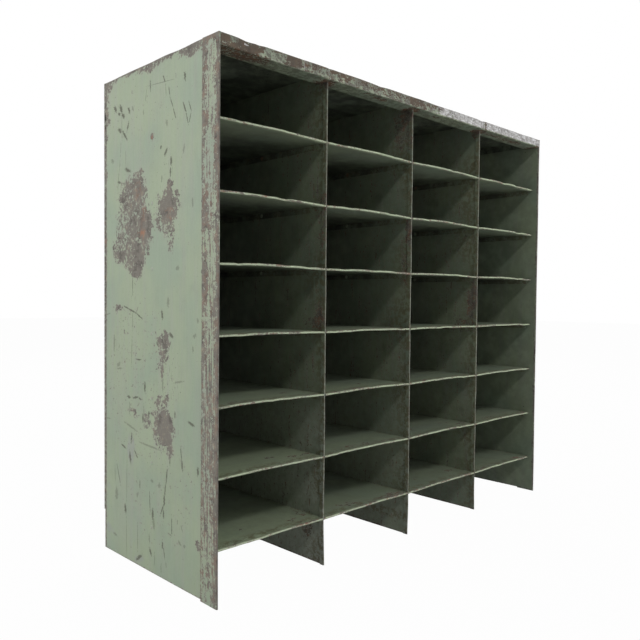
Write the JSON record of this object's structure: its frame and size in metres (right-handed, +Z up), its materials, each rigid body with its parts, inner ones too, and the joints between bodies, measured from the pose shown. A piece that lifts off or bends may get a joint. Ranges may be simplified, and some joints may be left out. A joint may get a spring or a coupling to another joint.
{
  "type": "pigeonhole mail sorter",
  "caption": "Free-standing open mail sorter of folded sheet steel: a grid of pigeonholes with riveted shelves between upright dividers, in a worn green painted case.",
  "frame": {"origin": "centre of the footprint, on the surface that the sorter stands on", "axes": "+X to the right seen from the open front, +Y from the front to the back, +Z up"},
  "size_m": [1.016, 0.381, 0.9144],
  "materials": {
    "case_paint": "worn satin enamel",
    "divider_paint": "worn satin enamel",
    "shelf_paint": "worn satin enamel",
    "rivet_steel": "worn satin enamel over rusty steel"
  },
  "bodies": {
    "root": {"left_side_panel": "case_paint", "right_side_panel": "case_paint", "top_panel": "case_paint", "back_panel": "case_paint", "left_side_rivets": "rivet_steel", "right_side_rivets": "rivet_steel", "back_rivets": "rivet_steel", "divider_1": "divider_paint", "divider_1_rivets": "rivet_steel", "divider_2": "divider_paint", "divider_2_rivets": "rivet_steel", "divider_3": "divider_paint", "divider_3_rivets": "rivet_steel", "shelf_row_1_column_1": "shelf_paint", "shelf_row_1_column_2": "shelf_paint", "shelf_row_1_column_3": "shelf_paint", "shelf_row_1_column_4": "shelf_paint", "shelf_row_2_column_1": "shelf_paint", "shelf_row_2_column_2": "shelf_paint", "shelf_row_2_column_3": "shelf_paint", "shelf_row_2_column_4": "shelf_paint", "shelf_row_3_column_1": "shelf_paint", "shelf_row_3_column_2": "shelf_paint", "shelf_row_3_column_3": "shelf_paint", "shelf_row_3_column_4": "shelf_paint", "shelf_row_4_column_1": "shelf_paint", "shelf_row_4_column_2": "shelf_paint", "shelf_row_4_column_3": "shelf_paint", "shelf_row_4_column_4": "shelf_paint", "shelf_row_5_column_1": "shelf_paint", "shelf_row_5_column_2": "shelf_paint", "shelf_row_5_column_3": "shelf_paint", "shelf_row_5_column_4": "shelf_paint", "shelf_row_6_column_1": "shelf_paint", "shelf_row_6_column_2": "shelf_paint", "shelf_row_6_column_3": "shelf_paint", "shelf_row_6_column_4": "shelf_paint", "shelf_row_7_column_1": "shelf_paint", "shelf_row_7_column_2": "shelf_paint", "shelf_row_7_column_3": "shelf_paint", "shelf_row_7_column_4": "shelf_paint"}
  },
  "joints": []
}
